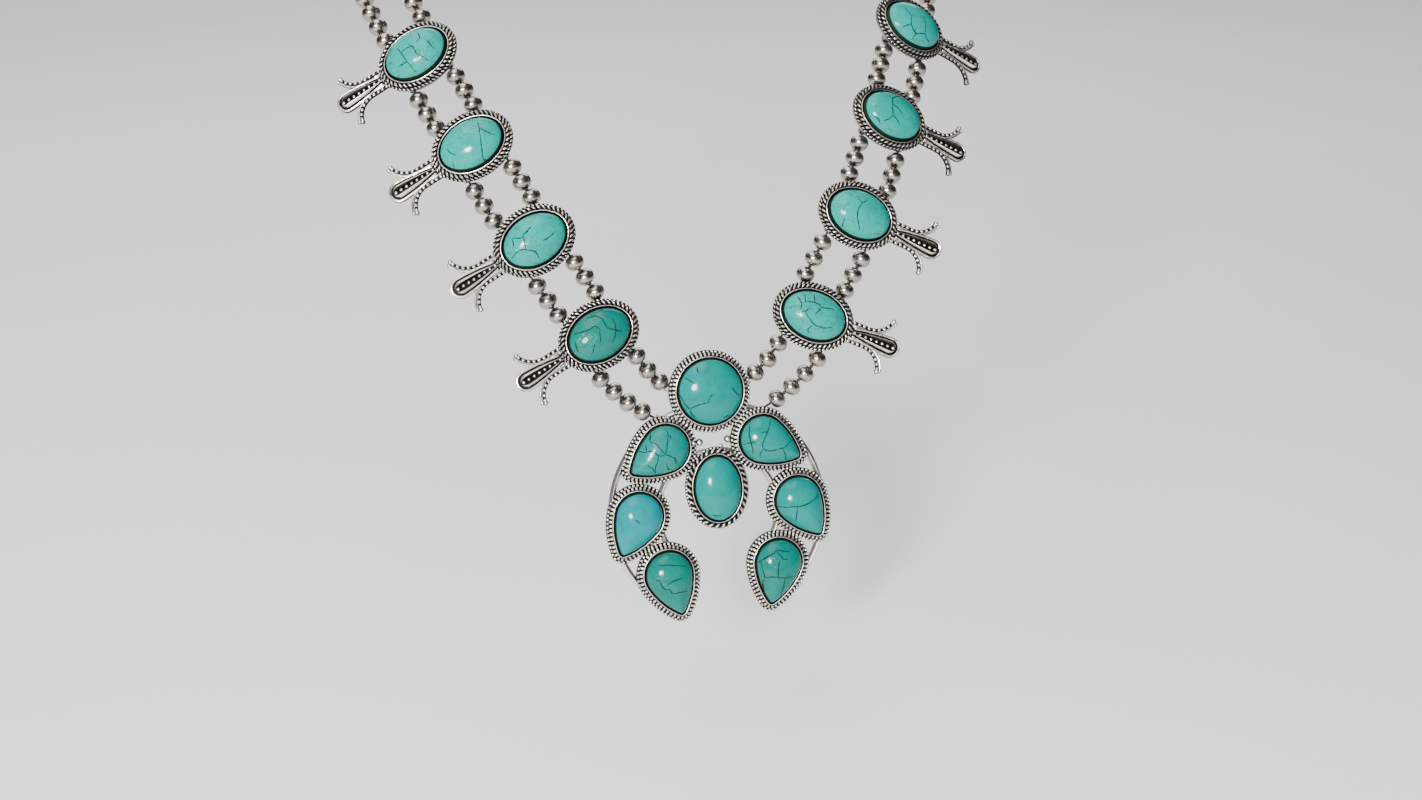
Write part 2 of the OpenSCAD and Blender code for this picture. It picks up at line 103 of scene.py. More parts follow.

# Wear and painted light: a spot is dark at the first number and bright at the second. Crests
# are bright as polish and painted highlight, upper sides as painted highlight, and undersides,
# valleys and ends next to other parts are dark as painted shade.
BALL_TOP_LIGHT = (0.5, 0.85)
WIRE_TOP_LIGHT = (0.1, 0.7)
RIM_TOP_WEAR_AND_LIGHT = (0.0, 0.5)
LOBE_VALLEY_SHADE = (0.62, 0.74)
ROPE_CREST_WEAR_AND_SHADE, ROPE_TOP_LIGHT, ROPE_INNER_SHADE = (0.6, 0.95), (0.0, 0.5), (-0.8, -0.1)
RIB_CREST_WEAR_AND_SHADE, RIB_HEAD_SHADE, RIB_FOOT_SHADE = (0.7, 0.98), (0.02, 0.2), (1.0, 0.72)

# Fineness of meshes
EDGE_STEPS = 720
STONE_SEG, STONE_RINGS, CUP_SEG = 96, 29, 180

RANDOM = random.Random(7)  # for the wander of the cracks


# Meshes

class Shape:
    """One piece in the making: points in millimetres, faces, and how bright each point is made:
    partly polish from wear, partly painted highlight and painted shade."""

    def __init__(self):
        self.points, self.faces, self.worn, self.count = [], [], [], 0

    def grid(self, rings, around=True, along=False, cap_first=False, cap_last=False, place=None,
             worn=1.0):
        """Skin over rings of points; around closes each ring, along joins the last to the first.
        worn, the brightness of polish, painted highlight and painted shade, is one number,
        or one for each ring, or one for each point."""
        rings = np.asarray(rings, float)
        m, n = rings.shape[:2]
        faces = []
        for j in range(m if along else m - 1):
            for i in range(n if around else n - 1):
                a, b = j * n, ((j + 1) % m) * n
                faces.append((a + i, b + i, b + (i + 1) % n, a + (i + 1) % n))
        if cap_first:
            faces.append(tuple(range(n)))
        if cap_last:
            faces.append(tuple(range((m - 1) * n, m * n)))
        self.faces += [tuple(i + self.count for i in face) for face in faces]
        self.count += m * n
        points = rings.reshape(-1, 3)
        self.points.append(points if place is None else points @ place[0].T + place[1])
        worn = np.asarray(worn, float)
        if worn.ndim == 1:
            worn = worn[:, None]
        self.worn.append(np.broadcast_to(worn, (m, n)).ravel())

    def done(self, name, material, slot, sharp=40):
        """Makes the piece; edges sharper than this many degrees stay sharp."""
        mesh = bpy.data.meshes.new(name)
        mesh.from_pydata(np.concatenate(self.points) * MM, [], self.faces)
        # Brightness mark of each point: polish, painted highlight and painted shade
        mesh.attributes.new("worn", "FLOAT", "POINT").data.foreach_set(
            "value", np.concatenate(self.worn).astype(np.float32))
        bm = bmesh.new()
        bm.from_mesh(mesh)
        bmesh.ops.recalc_face_normals(bm, faces=bm.faces)
        bm.to_mesh(mesh)
        bm.free()
        mesh.shade_smooth()
        mesh.set_sharp_from_angle(angle=math.radians(sharp))
        mesh.materials.append(material)
        piece = bpy.data.objects.new(name, mesh)
        bpy.context.scene.collection.objects.link(piece)
        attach(piece, "root")
        return piece


def unit(v):
    v = np.asarray(v, float)
    return v / np.maximum(np.linalg.norm(v, axis=-1, keepdims=True), 1e-12)


def step(low, high, x):
    """Smooth step from 0 at low to 1 at high."""
    t = np.clip((np.asarray(x, float) - low) / (high - low), 0, 1)
    return t * t * (3 - 2 * t)


def sphere_points(seg, rings):
    """Unit sphere with its poles on Z: rings of points, to be skinned with grid."""
    t = np.linspace(0.04, math.pi - 0.04, rings)
    a = np.arange(seg) / seg * TAU
    return np.stack([np.sin(t)[:, None] * np.cos(a), np.sin(t)[:, None] * np.sin(a),
                     np.cos(t)[:, None] * np.ones(seg)], -1)


BALL = sphere_points(12, 8)


def balls(shape, centres, radius, place=None):
    """Small balls at the given centres, with a painted highlight on top and painted shade
    underneath; radius is one or one for each.
    """
    worn = step(*BALL_TOP_LIGHT, BALL[..., 2])
    for centre, r in zip(centres, np.broadcast_to(radius, len(centres))):
        shape.grid(BALL * r + centre, cap_first=True, cap_last=True, place=place, worn=worn)


def tube(shape, path, radius, sides=8, closed=False, place=None, bright=1.0):
    """Round wire along a path of points, with rounded ends if it is open."""
    path = np.asarray(path, float)
    radius = np.broadcast_to(np.asarray(radius, float), len(path)).copy()
    if closed:
        way = unit(np.roll(path, -1, 0) - np.roll(path, 1, 0))
    else:
        further, thinner = 0.5, 0.7
        way = unit(np.gradient(path, axis=0))
        path = np.concatenate([[path[0] - way[0] * radius[0] * further], path,
                               [path[-1] + way[-1] * radius[-1] * further]])
        way = np.concatenate([way[:1], way, way[-1:]])
        radius = np.concatenate([radius[:1] * thinner, radius, radius[-1:] * thinner])
    no_wire_runs_so = [0.13, 0.21, 0.97]
    side = [unit(np.cross(way[0], no_wire_runs_so))]
    for w in way[1:]:
        side.append(unit(side[-1] - np.dot(side[-1], w) * w))
    side = np.array(side)
    up = np.cross(way, side)
    a = np.arange(sides) / sides * TAU
    out = np.cos(a)[None, :, None] * side[:, None] + np.sin(a)[None, :, None] * up[:, None]
    rings = path[:, None] + radius[:, None, None] * out
    # Painted highlight along the wire's upper side and painted shade under it, scaled by bright
    shape.grid(rings, along=closed, cap_first=not closed, cap_last=not closed, place=place,
               worn=bright * step(*WIRE_TOP_LIGHT, out[..., 2]))


# Outlines of stones: points of a stone's edge and the way out of it there, evenly spaced on
# the line that runs REF outside the stone

REF = 1.5


def pear_arcs(l, w, tip, flank, n=240):
    """Outline of a pear of length l and width w, point first, from arcs of n points each."""
    head_x, tip_x = (w - l) / 2, l / 2 - tip
    apart, to_head, to_tip = tip_x - head_x, flank - w / 2, flank - tip
    in_x = (apart ** 2 + to_head ** 2 - to_tip ** 2) / (2 * apart)
    in_y = math.sqrt(to_head ** 2 - in_x ** 2)
    a_from, a_to = math.atan2(in_y, apart - in_x), math.atan2(in_y, -in_x)
    points, ways = [], []
    for low, high, centre, r in ((0, a_from, (tip_x, 0), tip),
                                 (a_from, a_to, (head_x + in_x, -in_y), flank),
                                 (a_to, math.pi, (head_x, 0), w / 2)):
        a = np.linspace(low, high, n, endpoint=False)
        out = np.stack([np.cos(a), np.sin(a)], -1)
        points.append(np.array(centre) + r * out)
        ways.append(out)
    points, ways = np.concatenate(points), np.concatenate(ways)
    flip = np.array([1, -1])
    end = np.array([[head_x - w / 2, 0.0]])
    return (np.concatenate([points, end, points[:0:-1] * flip]),
            np.concatenate([ways, [[-1.0, 0.0]], ways[:0:-1] * flip]))


def edge(kind, n):
    """Edge of a kind of stone, as n points and the ways out there."""
    if kind == "pear":
        p, out = pear_arcs(*PEAR, PEAR_TIP, PEAR_FLANK)
    else:
        l, w = ROUND if kind == "round" else OVAL
        a = np.linspace(0, TAU, 2 * EDGE_STEPS, endpoint=False)
        p = np.stack([l / 2 * np.cos(a), w / 2 * np.sin(a)], -1)
        out = unit(np.stack([w * np.cos(a), l * np.sin(a)], -1))
    return spaced(p, out, n)


def spaced(p, out, n):
    """The outline p again, in n points that lie evenly on the line REF outside it."""
    p, out = np.concatenate([p, p[:1]]), np.concatenate([out, out[:1]])
    q = p + REF * out
    s = np.concatenate([[0], np.cumsum(np.linalg.norm(np.diff(q, axis=0), axis=1))])
    t = np.linspace(0, s[-1], n, endpoint=False)
    p = np.stack([np.interp(t, s, p[:, k]) for k in (0, 1)], -1)
    out = unit(np.stack([np.interp(t, s, out[:, k]) for k in (0, 1)], -1))
    return p, out


def around(kind, offset):
    """Length round a stone at an offset from its edge."""
    p, out = edge(kind, EDGE_STEPS)
    q = p + offset * out
    return np.linalg.norm(q - np.roll(q, 1, 0), axis=1).sum()


def swept(kind, profile, n):
    """Rings round a stone: profile holds (offset, height) pairs."""
    p, out = edge(kind, n)
    return [np.column_stack([p + o * out, np.full(n, z)]) for o, z in profile]


def cup(shape, kind, rim_w, place):
    """Base plate, wall under the border and plain rounded rim round a stone."""
    rim, out = GAP + rim_w, GAP + rim_w + BORDER_W
    half = rim_w * RIM_SHARE / 2
    # Rows hold offset, height and brightness: the plate's edge half dark and the wall under the
    # border dark as tarnish and painted shade, the rim's round top bright as polish and painted
    # highlight, and the inside of the rim dark as painted shade
    profile = [(out - EASE, FLOOR_LOW, 0.5), (out, FLOOR_LOW + EASE, 0.5),
               (out, FLOOR_TOP - EASE, 0.3), (out - EASE, FLOOR_TOP, 0),
               (rim + EASE, RIM_TOP - WALL_DROP, 0), (rim, RIM_TOP - RIM_DROP, 0)]
    profile += [(rim - half + half * math.cos(a), RIM_TOP - half + half * math.sin(a),
                 float(step(*RIM_TOP_WEAR_AND_LIGHT, math.sin(a)))) for a in np.linspace(0, math.pi, 11)]
    profile += [(GAP + 0.05, RIM_TOP - SEAT_DROP, 0), (GAP - 0.02, STONE_LOW, 0)]
    shape.grid(swept(kind, [row[:2] for row in profile], CUP_SEG), cap_first=True,
               cap_last=True, place=place, worn=[row[2] for row in profile])


def rope(shape, kind, spec, place, sides=7, steps=12):
    """Twisted wire of two strands round a cup, bright on its crests as polish and painted
    highlight and on its upper side as painted highlight, with painted shade on its inner side next
    to the rim.
    """
    offset, z, strand_r, lay_r, lobe = spec
    turns = round(around(kind, offset) / lobe / 2)
    n = turns * steps
    p, out = edge(kind, n)
    turn = np.arange(n) / n * TAU * turns
    out3 = np.column_stack([out, np.zeros(n)])
    for start in (0, math.pi):
        lay = np.cos(turn + start)[:, None] * out3 + np.sin(turn + start)[:, None] * [0, 0, 1]
        path = np.column_stack([p + offset * out, np.full(n, z)]) + lay_r * lay
        way = unit(np.roll(path, -1, 0) - np.roll(path, 1, 0))
        side = unit(lay - (lay * way).sum(1)[:, None] * way)
        up = np.cross(way, side)
        a = np.arange(sides) / sides * TAU
        round_it = (np.cos(a)[None, :, None] * side[:, None]
                    + np.sin(a)[None, :, None] * up[:, None])
        rings = path[:, None] + strand_r * round_it
        reach = (round_it * lay[:, None]).sum(-1)
        spot = (lay_r * lay[:, None] + strand_r * round_it) / (lay_r + strand_r)
        outward = (spot * out3[:, None]).sum(-1)
        shape.grid(rings, along=True, place=place,
                   worn=step(*ROPE_CREST_WEAR_AND_SHADE, reach) * step(*ROPE_TOP_LIGHT, spot[..., 2])
                   * step(*ROPE_INNER_SHADE, outward))


def granules(shape, kind, spec, place):
    """Row of small balls round a cup."""
    offset, z, radius, pitch = spec
    n = round(around(kind, offset) / pitch)
    p, out = edge(kind, n)
    balls(shape, np.column_stack([p + offset * out, np.full(n, z)]), radius, place)


def collar(shape, kind, spec, place, steps=8, rows=7):
    """Collar of short rounded ribs that slopes down and out from a rim."""
    inner, outer, pitch, height = spec
    ribs = round(around(kind, (inner[0] + outer[0]) / 2) / pitch)
    n = ribs * steps
    p, out = edge(kind, n)
    wave = np.abs(np.sin(np.arange(n) / steps * math.pi)) ** 0.7
    slope = unit([inner[1] - outer[1], outer[0] - inner[0]])
    rings = [np.column_stack([p + (outer[0] - EASE) * out, np.full(n, FLOOR_TOP)])]
    worn = [np.zeros(n)]
    for t in np.linspace(1, 0, rows):
        o, z = (inner[k] + (outer[k] - inner[k]) * t for k in (0, 1))
        lift = height * wave * math.sin(math.pi * (0.12 + 0.76 * t)) ** 0.5
        rings.append(np.column_stack([p + (o + slope[0] * lift)[:, None] * out,
                                      z + slope[1] * lift]))
        # Rib crests bright as polish and painted highlight; painted shade at the ribs' ends next
        # to the rim and the granules, and on the foot ring
        worn.append(step(*RIB_CREST_WEAR_AND_SHADE, wave) * step(*RIB_HEAD_SHADE, t)
                    * step(*RIB_FOOT_SHADE, t))
    shape.grid(rings, place=place, worn=np.array(worn))


def peak_of(kind):
    """The point of a stone's plane under its summit."""
    return np.array([-PEAR_PEAK * PEAR[0] if kind == "pear" else 0.0, 0.0])


def dome_height(kind, points):
    """Height of a stone's polished dome over points of its plane."""
    p, _ = edge(kind, EDGE_STEPS)
    rays = p - peak_of(kind)
    angle, reach = np.arctan2(rays[:, 1], rays[:, 0]), np.linalg.norm(rays, axis=1)
    order = np.argsort(angle)
    q = np.asarray(points) - peak_of(kind)
    share = np.linalg.norm(q, axis=1) / np.interp(
        np.arctan2(q[:, 1], q[:, 0]), angle[order], reach[order], period=TAU)
    return STONE_LOW + GIRDLE + DOME * np.sqrt(1 - np.clip(share, 0, 1) ** 2)


def cracks(shape, kind, place, lines):
    """Thin dark strips laid on a dome; lines hold points of the stone's plane."""
    spacing, stray, smoothings = 0.25, 0.03, 3
    for line in lines:
        line = np.array(line, float)
        s = np.concatenate([[0], np.cumsum(np.linalg.norm(np.diff(line, axis=0), axis=1))])
        at = np.linspace(0, s[-1], max(int(s[-1] / spacing), 4))
        path = np.stack([np.interp(at, s, line[:, k]) for k in (0, 1)], -1)
        for _ in range(smoothings):
            path[1:-1] = (path[:-2] + 2 * path[1:-1] + path[2:]) / 4
        path[1:-1] += [[RANDOM.gauss(0, stray), RANDOM.gauss(0, stray)] for _ in path[1:-1]]
        way = unit(np.gradient(path, axis=0))
        side = np.stack([-way[:, 1], way[:, 0]], -1)
        t = np.linspace(0, 1, len(path))
        wide = np.array([CRACK_W * RANDOM.uniform(0.6, 1.2) for _ in t])
        wide *= 0.45 + 0.55 * np.sin(math.pi * np.clip(t, 0.01, 0.99)) ** 0.5
        banks = [path - side * wide[:, None] / 2, path, path + side * wide[:, None] / 2]
        shape.grid(np.stack([np.column_stack([b, dome_height(kind, b) + CRACK_LIFT])
                             for b in banks]), around=False, place=place)


def stone(kind, place, name):
    """Polished cabochon in its cup, with its cracks and a painted shade line where it sits in its
    cup.
    """
    shape = Shape()
    n = STONE_SEG
    p, _ = edge(kind, n)
    peak = peak_of(kind)
    wall = [(0.985, 0.0), (1, 0.12), (1, GIRDLE * 0.6)]
    dome = [(math.cos(a), GIRDLE + DOME * math.sin(a))
            for a in np.radians(np.linspace(0, 89.5, STONE_RINGS))]
    shape.grid([np.column_stack([peak + k * (p - peak), np.full(n, STONE_LOW + z)])
                for k, z in wall + dome], cap_first=True, cap_last=True, place=place)
    material = turquoise("turquoise_" + name, *STONES[name])
    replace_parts(shape.done(name + "_cabochon", material, "turquoise", 60), name)
    cracks(CRACKS_AND_SEAT_SHADE, kind, place, CRACKS[name])
    # A dark strip round the foot of the dome: painted shade where the stone meets its cup
    seat = [(1, SEAT_LOW)] + dome[:SEAT_ROWS]
    CRACKS_AND_SEAT_SHADE.grid([np.column_stack([peak + SEAT_SWELL * k * (p - peak),
                                       np.full(n, STONE_LOW + z + CRACK_LIFT)])
                      for k, z in seat], place=place)


# Materials

def nodes_of(name):
    """A new material, its shader, a maker of nodes and a maker of links to the shader."""
    material = bpy.data.materials.new(name)
    material.use_nodes = True
    tree = material.node_tree
    shader = tree.nodes["Principled BSDF"]

    def node(kind, inputs=(), **settings):
        made = tree.nodes.new(kind)
        for key, value in settings.items():
            setattr(made, key, value)
        for key, value in dict(inputs).items():
            if isinstance(value, bpy.types.NodeSocket):
                tree.links.new(value, made.inputs[key])
            else:
                made.inputs[key].default_value = value
        return made

    def wire(out, socket):
        tree.links.new(out, shader.inputs[socket])

    return material, shader, node, wire


def ramp(node, value, stops, smooth=False):
    """Colours by value; stops hold (value, colour) pairs."""
    made = node("ShaderNodeValToRGB", {"Fac": value})
    if smooth:
        made.color_ramp.interpolation = "EASE"
    elements = made.color_ramp.elements
    while len(elements) < len(stops):
        elements.new(0.5)
    for element, (at, colour) in zip(elements, stops):
        element.position = at
        element.color = (*colour, 1)
    return made.outputs["Color"]


def grey(v):
    return (v, v, v)


def mix(node, factor, a, b, blend="MIX"):
    """Mix of two colours, each of them a socket or a constant."""
    made = node("ShaderNodeMix", data_type="RGBA", blend_type=blend)
    links = made.id_data.links
    for key, value in ((0, factor), (6, a), (7, b)):
        if isinstance(value, bpy.types.NodeSocket):
            links.new(value, made.inputs[key])
        elif key:
            made.inputs[key].default_value = (*value, 1)
        else:
            made.inputs[key].default_value = value
    return made.outputs[2]


# Black of the tarnish in hollows, also the colour of the painted shade on marked meshes
OXIDE_AND_SHADE = (0.018, 0.016, 0.014)


def metal(name, bright, tarnish, gloss, hollow, marked=True):
    """Old silver: polished where it stands out, black where dirt and tarnish lie in hollows
    of this many metres. marked is for meshes that carry their own mark of polish, painted
    highlight and painted shade."""
    material, shader, node, wire = nodes_of(name)
    place = node("ShaderNodeTexCoord").outputs["Object"]
    cloud = node("ShaderNodeTexNoise", {"Vector": place, "Scale": 420.0, "Detail": 4.0})
    fine = node("ShaderNodeTexNoise", {"Vector": place, "Scale": 2600.0, "Detail": 3.0})
    open_air = node("ShaderNodeAmbientOcclusion", {"Distance": hollow}, samples=4)
    clear = ramp(node, open_air.outputs["AO"], [(0.3, grey(0)), (0.72, grey(1))], True)
    worn = clear
    if marked:
        # Mesh mark: polish on crests, painted highlight on upper sides, painted shade under things
        # and between parts
        wear_and_light_mark = node("ShaderNodeAttribute", attribute_name="worn").outputs["Fac"]
        worn = mix(node, 1.0, clear, wear_and_light_mark, "MULTIPLY")
    tone = mix(node, cloud.outputs["Fac"], bright, tarnish)
    wire(mix(node, worn, OXIDE_AND_SHADE, tone), "Base Color")
    rough = ramp(node, fine.outputs["Fac"], [(0.3, grey(gloss)), (0.75, grey(gloss + 0.14))])
    wire(mix(node, worn, grey(0.55), rough), "Roughness")
    bump = node("ShaderNodeBump", {"Height": cloud.outputs["Fac"], "Strength": 0.12,
                                   "Distance": 0.0002})
    scuffs = node("ShaderNodeBump", {"Height": fine.outputs["Fac"], "Strength": 0.1,
                                     "Distance": 0.00005, "Normal": bump.outputs["Normal"]})
    wire(scuffs.outputs["Normal"], "Normal")
    shader.inputs["Metallic"].default_value = 1.0
    return material


def turquoise(name, light, cell, hairs, seed):
    """Polished turquoise with faint hair cracks; cell is the size of their mesh in millimetres,
    hairs the share of it that shows, and seed moves the pattern."""
    material, shader, node, wire = nodes_of(name)
    place = node("ShaderNodeTexCoord").outputs["Object"]
    moved = node("ShaderNodeMapping", {"Vector": place,
                                       "Location": (seed * 0.37, seed * 0.11, seed * 0.23)})
    place = moved.outputs["Vector"]
    wobble = node("ShaderNodeTexNoise", {"Vector": place, "Scale": 420.0, "Detail": 3.0})
    bent = mix(node, 0.0022, place, wobble.outputs["Color"], "LINEAR_LIGHT")

    cells = node("ShaderNodeTexVoronoi", {"Vector": bent, "Scale": 1000.0 / cell},
                 feature="DISTANCE_TO_EDGE")
    half = HAIR_W / cell / 2
    line = ramp(node, cells.outputs["Distance"], [(half * 0.5, grey(1)), (half * 1.9, grey(0))])
    where = node("ShaderNodeTexNoise", {"Vector": place, "Scale": 260.0, "Detail": 1.0})
    shown = ramp(node, where.outputs["Fac"], [(0.62 - 0.3 * hairs, grey(0)),
                                              (0.7 - 0.3 * hairs, grey(0.85))])
    line = mix(node, 1.0, line, shown, "MULTIPLY")
    cloud = node("ShaderNodeTexNoise", {"Vector": place, "Scale": 130.0, "Detail": 5.0,
                                        "Roughness": 0.62})
    deep = tuple(light[k] * f for k, f in enumerate((0.5, 0.78, 0.76)))
    pale = tuple(min(light[k] * f, 1) for k, f in enumerate((1.25, 1.07, 1.05)))
    body = ramp(node, cloud.outputs["Fac"], [(0.3, deep), (0.5, light), (0.74, pale)])
    dots = node("ShaderNodeTexNoise", {"Vector": place, "Scale": 1700.0, "Detail": 2.0})
    body = mix(node, ramp(node, dots.outputs["Fac"], [(0.62, grey(0)), (0.75, grey(0.35))]),
               body, tuple(c * 0.55 for c in light))
    wire(mix(node, line, body, (0.02, 0.10, 0.085)), "Base Color")
    wire(mix(node, line, grey(0.14), grey(0.4)), "Roughness")
    sunk = node("ShaderNodeBump", {"Height": mix(node, line, grey(1), grey(0)),
                                   "Strength": 0.25, "Distance": 0.00008})
    wire(sunk.outputs["Normal"], "Normal")
    shader.inputs["Specular IOR Level"].default_value = 0.19
    return material


def crack_and_seat_shade_material():
    """Dirt in the cracks of the stones, and the painted shade line round each stone's foot, from
    green-black to brown.
    """
    material, shader, node, wire = nodes_of("crack_dirt_and_seat_shade")
    place = node("ShaderNodeTexCoord").outputs["Object"]
    cloud = node("ShaderNodeTexNoise", {"Vector": place, "Scale": 90.0, "Detail": 3.0})
    wire(ramp(node, cloud.outputs["Fac"], [(0.35, (0.003, 0.014, 0.012)),
                                           (0.7, (0.015, 0.02, 0.009))]), "Base Color")
    fine = node("ShaderNodeTexNoise", {"Vector": place, "Scale": 3000.0, "Detail": 2.0})
    wire(ramp(node, fine.outputs["Fac"], [(0.3, grey(0.5)), (0.7, grey(0.8))]), "Roughness")
    shader.inputs["Specular IOR Level"].default_value = 0.05
    return material


def thread_material():
    """Black waxed thread of fine twisted plies."""
    material, shader, node, wire = nodes_of("waxed_thread")
    place = node("ShaderNodeTexCoord").outputs["Object"]
    plies = node("ShaderNodeTexWave", {"Vector": place, "Scale": 900.0, "Distortion": 2.0},
                 bands_direction="DIAGONAL")
    fuzz = node("ShaderNodeTexNoise", {"Vector": place, "Scale": 5000.0, "Detail": 2.0})
    tone = ramp(node, plies.outputs["Fac"], [(0.2, (0.006, 0.006, 0.007)),
                                             (0.9, (0.03, 0.03, 0.032))])
    wire(mix(node, fuzz.outputs["Fac"], tone, (0.02, 0.018, 0.018)), "Base Color")
    bump = node("ShaderNodeBump", {"Height": plies.outputs["Fac"], "Strength": 0.5,
                                   "Distance": 0.0001})
    wire(bump.outputs["Normal"], "Normal")
    shader.inputs["Roughness"].default_value = 0.6
    return material


def floor_material():
    """Pale matt floor."""
    material, shader, node, wire = nodes_of("pale_floor")
    place = node("ShaderNodeTexCoord").outputs["Object"]
    cloud = node("ShaderNodeTexNoise", {"Vector": place, "Scale": 3.0, "Detail": 3.0})
    wire(ramp(node, cloud.outputs["Fac"], [(0.3, grey(0.78)), (0.7, grey(0.82))]), "Base Color")
    shader.inputs["Roughness"].default_value = 0.8
    return material


CRACKS_AND_SEAT_SHADE = Shape()
SILVER = metal("old_silver", (0.92, 0.89, 0.85), (0.66, 0.62, 0.57), 0.24, 0.0009)
PLAIN_SILVER = metal("plain_silver", (0.8, 0.77, 0.73), (0.5, 0.47, 0.43), 0.2, 0.0009, False)
BEAD_SILVER = metal("bead_silver", (0.42, 0.393, 0.357), (0.27, 0.25, 0.225), 0.2, 0.0016)
THREAD = thread_material()

# Turquoise of the stones high up and low down, and two that lean to blue and to green
UPPER, LOWER = (0.0, 0.25, 0.22), (0.0, 0.17, 0.155)
BLUER, GREENER = (0.0, 0.18, 0.2), (0.0, 0.13, 0.11)
# Each stone's look: colour, cell of its hair cracks, share of them that shows, seed
STONES = {
    "round_stone": (LOWER, 3.0, 0.1, 1),
    "centre_oval_stone": (LOWER, 3.0, 0.1, 2),
    "left_top_pear_stone": (LOWER, 2.2, 0.85, 3),
    "left_middle_pear_stone": (BLUER, 3.0, 0.0, 4),
    "left_tip_pear_stone": (GREENER, 2.8, 0.55, 5),
    "right_top_pear_stone": (LOWER, 2.8, 0.55, 6),
    "right_middle_pear_stone": (LOWER, 3.0, 0.0, 7),
    "right_tip_pear_stone": (GREENER, 2.8, 0.5, 8),
    "left_oval_stone_1": (GREENER, 2.2, 0.85, 9),
    "left_oval_stone_2": (UPPER, 2.8, 0.75, 10),
    "left_oval_stone_3": (UPPER, 3.0, 0.6, 11),
    "left_oval_stone_4": (UPPER, 3.0, 0.75, 12),
    "right_oval_stone_1": (UPPER, 2.4, 0.8, 13),
    "right_oval_stone_2": (UPPER, 3.2, 0.5, 14),
    "right_oval_stone_3": (UPPER, 3.2, 0.55, 15),
    "right_oval_stone_4": (UPPER, 3.0, 0.6, 16),
}

